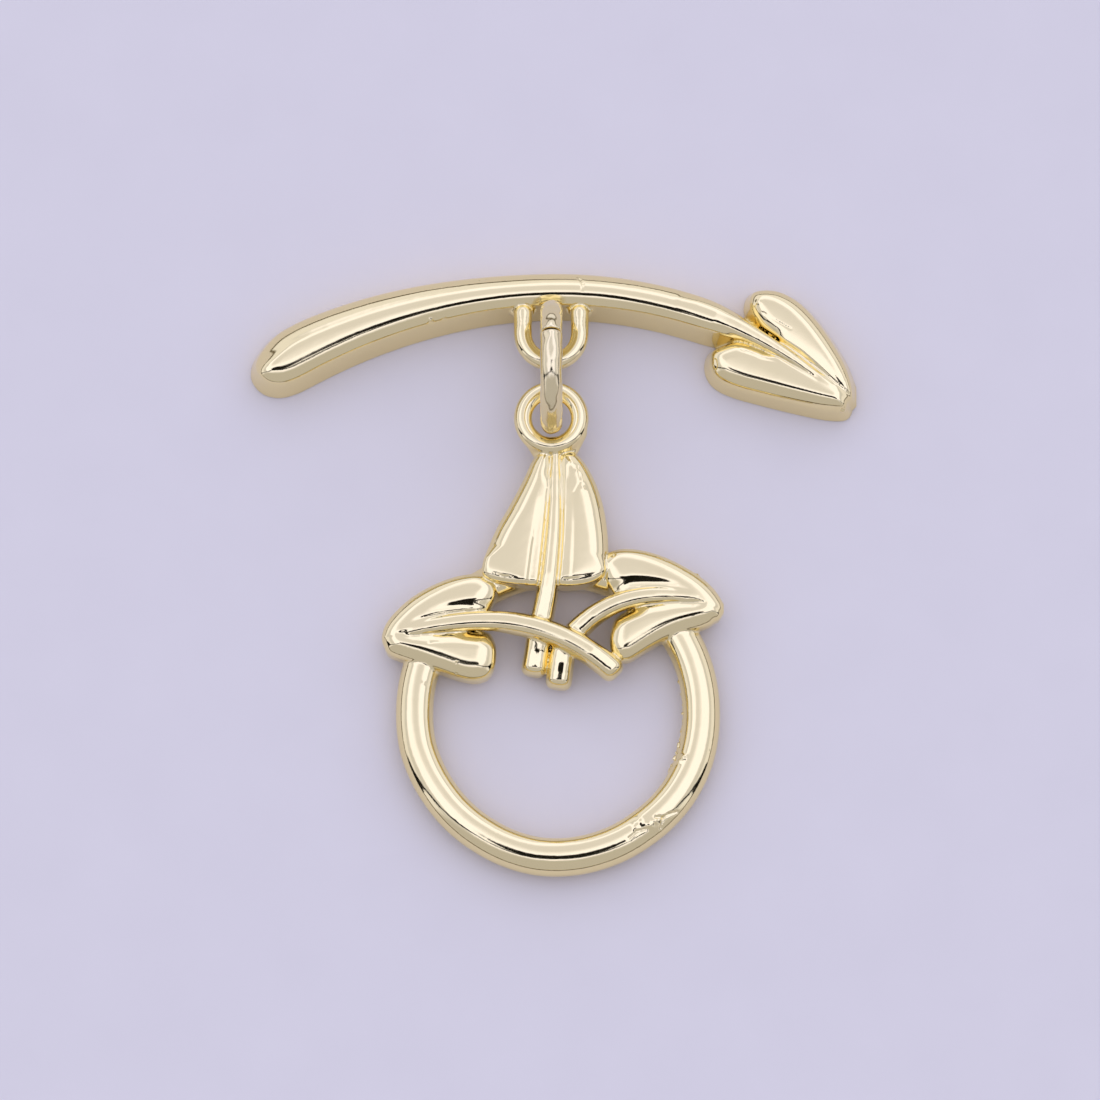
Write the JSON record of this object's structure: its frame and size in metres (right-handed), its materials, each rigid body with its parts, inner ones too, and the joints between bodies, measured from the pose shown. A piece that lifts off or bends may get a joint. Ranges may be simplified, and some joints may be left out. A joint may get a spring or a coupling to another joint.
{
  "type": "toggle clasp",
  "caption": "Gold-tone toggle clasp: a ring with three crossed leaf stems, an arched bar with a leaf tip, linked at their eyes by a jump ring.",
  "frame": {"origin": "middle of the clasp seen from above, in the plane of its flat back", "axes": "+X along the bar towards its leaf, +Y from the ring towards the bar, +Z out of the domed front"},
  "size_m": [0.0274, 0.0281, 0.0061],
  "materials": {
    "gold_plate": "polished",
    "gold_wire": "polished"
  },
  "bodies": {
    "root": {"toggle_ring": "gold_plate", "toggle_bar": "gold_plate", "jump_ring": "gold_wire"}
  },
  "joints": []
}
